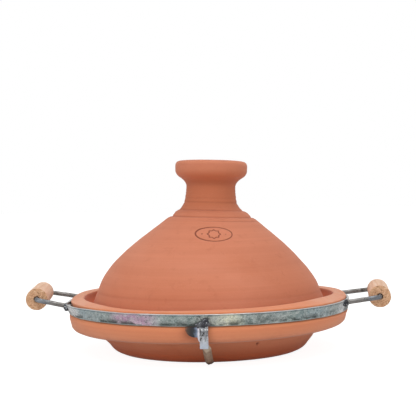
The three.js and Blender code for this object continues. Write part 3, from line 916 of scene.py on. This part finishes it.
def bar_look(name, stretch, light, middle, dark, metal):
    """Drawn or rolled bar stock: streaks along its length, mill scale, a painted bluish highlight where the
    rod is marked near its grips, and dark near the floor.
    """
    look = Look(name)
    here = look.place()
    streaks = look.noise(look.place(stretch), 1.0, 4, 0.65)
    scale = look.noise(here, 110, 5, 0.65, 0.4)
    grain = look.noise(here, 900, 3, 0.6)
    tone = look.mix(look.between(streaks, 0.32, 0.68), middle, light)
    tone = look.mix(look.between(scale, 0.48, 0.66, 0, 0.75), tone, dark)
    tone = look.mix(look.between(grain, 0.55, 0.75, 0, 0.35), tone, dark)
    # Painted highlight, bluish, where the rod is marked near its grips.
    painted_rod_highlight = look.times(look.marked("painted_rod_highlight"), look.between(grain, 0.35, 0.6, 0.65, 0.2))
    tone = look.mix(painted_rod_highlight, tone, rgb(146, 158, 174))
    foot = look.between(look.split(here)[2], 0.0046, 0.003, 0, 0.5)
    tone = look.mix(foot, tone, rgb(62, 54, 50))
    normal = look.bump(streaks, 0.00012, 0.7)
    normal = look.bump(scale, 0.00025, 0.5, normal)
    normal = look.bump(grain, 0.00006, 0.5, normal)
    rough = look.between(scale, 0.35, 0.7, 0.38, 0.68)
    return look.finish(Base_Color=tone, Roughness=rough, Metallic=metal, Normal=normal)


def tab_look():
    """Bright flat bar, gashed and smoked below the weld, with three painted highlights under the weld, and
    clean lower down.
    """
    look = Look("tab_steel")
    here = look.place()
    height = look.split(here)[2]
    streaks = look.noise(look.place((500, 500, 60)), 1.0, 3, 0.6)
    cuts = look.noise(look.place((90, 90, 900), (0, 0.6, 0)), 1.0, 3, 0.7)
    smoke = look.noise(here, 210, 4, 0.65)
    tone = look.mix(look.between(streaks, 0.35, 0.65), rgb(190, 194, 200), rgb(222, 226, 232))
    upper = look.between(height, 0.026, 0.036, 0.1, 1)
    smoky = look.times(look.between(smoke, 0.42, 0.6, 0, 0.8), upper)
    tone = look.mix(smoky, tone, rgb(116, 116, 118))
    tone = look.mix(look.between(height, 0.031, 0.024), tone, rgb(204, 214, 228))
    scratched = look.times(look.between(cuts, 0.5, 0.6), upper)
    tone = look.mix(look.times(scratched, 0.7), tone, rgb(84, 84, 88))
    ragged = look.between(look.noise(here, 620, 3, 0.7), 0.4, 0.52)
    torn = look.times(look.marked("gash"), ragged)
    tone = look.mix(torn, tone, rgb(58, 54, 52))
    # Painted highlights: the marked dots are painted white.
    tone = look.mix(look.marked("glare"), tone, rgb(255, 255, 255))
    normal = look.bump(streaks, 0.00012, 0.6)
    normal = look.bump(cuts, 0.0002, 0.5, normal)
    normal = look.bump(smoke, 0.0003, 0.6, normal)
    rough = look.between(smoke, 0.35, 0.7, 0.32, 0.6)
    return look.finish(Base_Color=tone, Roughness=rough, Metallic=0.85, Normal=normal)


def gusset_look(name, turn):
    """Plate that the torch blackened on its far side, with painted shade over it and a painted highlight
    beside the tab.
    """
    look = Look(name)
    here = look.place()
    x, y = look.split(here)[:2]
    x_part = look.times(x, math.cos(turn))
    y_part = look.times(y, math.sin(turn))
    across = look.between(look.math("ADD", x_part, y_part), -0.0185, -0.0035)
    soot = look.noise(here, 260, 4, 0.6)
    across = look.math("ADD", across, look.between(soot, 0.3, 0.7, -0.08, 0.08))
    rust, brown, black = rgb(176, 116, 88), rgb(98, 84, 76), rgb(68, 66, 68)
    dark, blue, bright = rgb(66, 70, 76), rgb(138, 152, 176), rgb(246, 243, 252)
    stops = [(0, rust), (0.2, brown), (0.42, black), (0.6, dark), (0.76, blue), (0.92, bright)]
    # The ramp's darkening and its bright end beside the tab are painted shade and a painted highlight over
    # the torch's blackening.
    tone = look.ramp(across, stops)
    normal = look.bump(soot, 0.0002, 0.5)
    return look.finish(Base_Color=tone, Roughness=0.42, Metallic=0.75, Normal=normal)


def weld_look():
    """Cooled weld metal: near black, blue where it was hottest, with a few painted glints on the tops of its
    lumps.
    """
    look = Look("weld_steel")
    here = look.place()
    lumps = look.noise(here, 330, 4, 0.65)
    hue = look.noise(here, 140, 2, 0.5)
    tone = look.ramp(hue, [(0.36, rgb(54, 55, 62)), (0.5, rgb(75, 75, 81)), (0.64, rgb(108, 110, 115))])
    # Painted glints on the tops of the lumps.
    tone = look.mix(look.between(lumps, 0.58, 0.66), tone, rgb(190, 194, 198))
    normal = look.bump(lumps, 0.0006, 0.8)
    return look.finish(Base_Color=tone, Roughness=0.48, Metallic=0.6, Normal=normal)


def wood_look():
    """Bare dowel: pale straight grain on the side, darker sawn end grain with pores and rings."""
    look = Look("grip_wood")
    here = look.place()
    grain = look.noise(look.place((260, 260, 9)), 1.0, 4, 0.6, 0.4)
    fibres = look.noise(look.place((900, 900, 30)), 1.0, 3, 0.6)
    tan, cream, pale = rgb(226, 180, 148), rgb(243, 203, 174), rgb(250, 220, 196)
    side = look.ramp(grain, [(0.3, tan), (0.5, cream), (0.7, pale)])
    side = look.mix(look.between(fibres, 0.55, 0.75, 0, 0.35), side, rgb(200, 152, 112))
    x, y = look.split(here)[:2]
    off_centre = look.math("ADD", y, 0.006)
    squares = look.math("ADD", look.math("POWER", x, 2.0), look.math("POWER", off_centre, 2.0))
    rings = look.math("SQRT", squares)
    wander = look.noise(here, 120, 2, 0.5)
    rings = look.math("ADD", rings, look.times(wander, 0.0014))
    rings = look.math("SINE", look.times(rings, TAU / 0.0022))
    speckle = look.noise(here, 520, 3, 0.7)
    stain = look.noise(here, 160, 2, 0.6)
    end = look.mix(look.between(rings, -1, 1, 0, 0.5), rgb(229, 184, 145), rgb(205, 154, 115))
    end = look.mix(look.between(stain, 0.5, 0.7, 0, 0.4), end, rgb(190, 132, 96))
    end = look.mix(look.between(speckle, 0.54, 0.66, 0, 0.75), end, rgb(132, 84, 54))
    end = look.mix(look.between(speckle, 0.43, 0.33, 0, 0.75), end, rgb(252, 220, 186))
    on_end = look.marked("end")
    tone = look.mix(on_end, side, end)
    normal = look.bump(fibres, 0.00012, 0.5)
    normal = look.bump(look.times(speckle, on_end), 0.0006, 0.6, normal)
    return look.finish(Base_Color=tone, Roughness=0.72, Specular_IOR_Level=0.3, Normal=normal)


# ---------------------------------------------------------------- the object
def build_object():
    # On the lid the zone colour, from 0.15 to 0.201 m, is painted shade on the neck and the knob's sides.
    tones = [rgb(220, 137, 104), rgb(214, 129, 94), rgb(190, 106, 74), rgb(203, 117, 79)]
    lid_clay = clay_look("lid_clay", *tones, 0.15, 0.201, 0.13)
    # On the dish the zone colour, from 0.03 to 0.07 m, makes the belt and rim brighter and redder.
    tones = [rgb(222, 144, 108), rgb(217, 136, 98), rgb(196, 111, 76), rgb(234, 144, 99)]
    dish_clay = clay_look("dish_clay", *tones, 0.03, 0.07, 0.28)
    hoop_steel = hoop_look()
    tones = [rgb(156, 154, 152), rgb(124, 120, 116), rgb(84, 78, 72)]
    rod_grey = bar_look("rod_steel", (60, 900, 900), *tones, 0.8)
    tab_bright = tab_look()
    tones = [rgb(206, 186, 164), rgb(174, 156, 134), rgb(112, 96, 80)]
    leg_brown = bar_look("leg_steel", (600, 40, 40), *tones, 0.55)
    weld_dark = weld_look()
    wood = wood_look()

    finish_piece(make_dish(), "stand", "dish", dish_clay)
    finish_piece(make_lid(), "lid", "lid", lid_clay)
    finish_piece(make_hoop(), "stand", "hoop", hoop_steel)
    for name, side in (("left", -1), ("right", 1)):
        finish_piece(make_rod(name, side), "stand", f"{name}_handle_rod", rod_grey)
        finish_piece(make_grip(name, side, 40 + side), f"{name}_grip", f"{name}_grip", wood)
        for place, sign in (("front", -1), ("back", 1)):
            weld = make_handle_weld(name, side, place, sign)
            finish_piece(weld, "stand", f"{name}_{place}_weld", weld_dark)
    for index, (name, turn) in enumerate(LEG_TURNS.items()):
        finish_piece(make_tab(name, turn), "stand", f"{name}_leg_tab", tab_bright)
        gusset = gusset_look(f"{name}_gusset_steel", turn)
        finish_piece(make_gusset(name, turn), "stand", f"{name}_leg_gusset", gusset)
        finish_piece(make_leg_bar(name, turn), "stand", f"{name}_leg_bar", leg_brown)
        weld = make_leg_weld(name, turn, 8.0 + index)
        finish_piece(weld, "stand", f"{name}_leg_weld", weld_dark)


# ---------------------------------------------------------------- floor, light and camera
def make_floor():
    bpy.ops.mesh.primitive_plane_add(size=30, location=(0, 0, -0.0004))
    floor = bpy.context.object
    floor.name = "floor"
    look = Look("floor_white")
    ray = look.tree.nodes.new("ShaderNodeLightPath").outputs["Is Camera Ray"]
    paper = look.mix(ray, rgb(231, 231, 231), rgb(150, 150, 150))
    glow = look.between(ray, 0, 1, 0, 0.92)
    white = look.finish(Base_Color=paper, Roughness=0.9, Emission_Color=(1, 1, 1, 1), Emission_Strength=glow)
    floor.data.materials.append(white)
    floor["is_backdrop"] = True


def make_light(name, place, size, power):
    """A round lamp that shines at the middle of the pot."""
    data = bpy.data.lights.new(name, "AREA")
    data.shape = "DISK"
    data.size = size
    data.energy = power
    lamp = add_object(name, data)
    lamp.location = place
    lamp.rotation_euler = (Vector((0, 0, 0.09)) - Vector(place)).to_track_quat("-Z", "Y").to_euler()


def make_world():
    """Even white surroundings: full white behind the object, dimmer as light on it."""
    world = bpy.data.worlds.new("studio")
    bpy.context.scene.world = world
    world.use_nodes = True
    tree = world.node_tree
    background = tree.nodes["Background"]
    background.inputs["Color"].default_value = (1, 1, 1, 1)
    ray = tree.nodes.new("ShaderNodeLightPath").outputs["Is Camera Ray"]
    strength = tree.nodes.new("ShaderNodeMapRange")
    tree.links.new(ray, strength.inputs["Value"])
    strength.inputs["To Min"].default_value = 0.48
    strength.inputs["To Max"].default_value = 1.0
    tree.links.new(strength.outputs["Result"], background.inputs["Strength"])


def make_camera():
    """Level with the lid's collar, a metre from the pot's axis, a little to the right of the front leg."""
    distance, height, azimuth = 1.008, 0.1624, math.radians(1.85)
    data = bpy.data.cameras.new("camera")
    data.sensor_width = 36
    data.lens = 77.9
    camera = add_object("camera", data)
    look_down, roll, aside = math.radians(0.412), math.radians(1.1), math.radians(-0.075)
    turned = Matrix.Rotation(azimuth, 4, "Z") @ Matrix.Translation((0, -distance, height))
    turned = turned @ Matrix.Rotation(TAU / 4 - look_down, 4, "X") @ Matrix.Rotation(aside, 4, "Y")
    camera.matrix_world = turned @ Matrix.Rotation(-roll, 4, "Z")
    bpy.context.scene.camera = camera


def write_sizes():
    boxes = {"cad": cad_bounds, "visual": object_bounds()}
    plain = {name: [[float(c) for c in corner] for corner in box] for name, box in boxes.items()}


make_camera()
build_object()
make_floor()
make_world()
make_light("front", (0, -1.6, 2.4), 1.6, 15.5)
make_light("top", (0.2, 0.3, 2.5), 1.8, 17)
make_light("low_left", (-2.0, -1.9, 0.5), 1.2, 10.5)
make_light("low_right", (2.0, -1.9, 0.5), 1.2, 6.2)
bpy.context.scene.view_settings.view_transform = "Standard"
write_sizes()
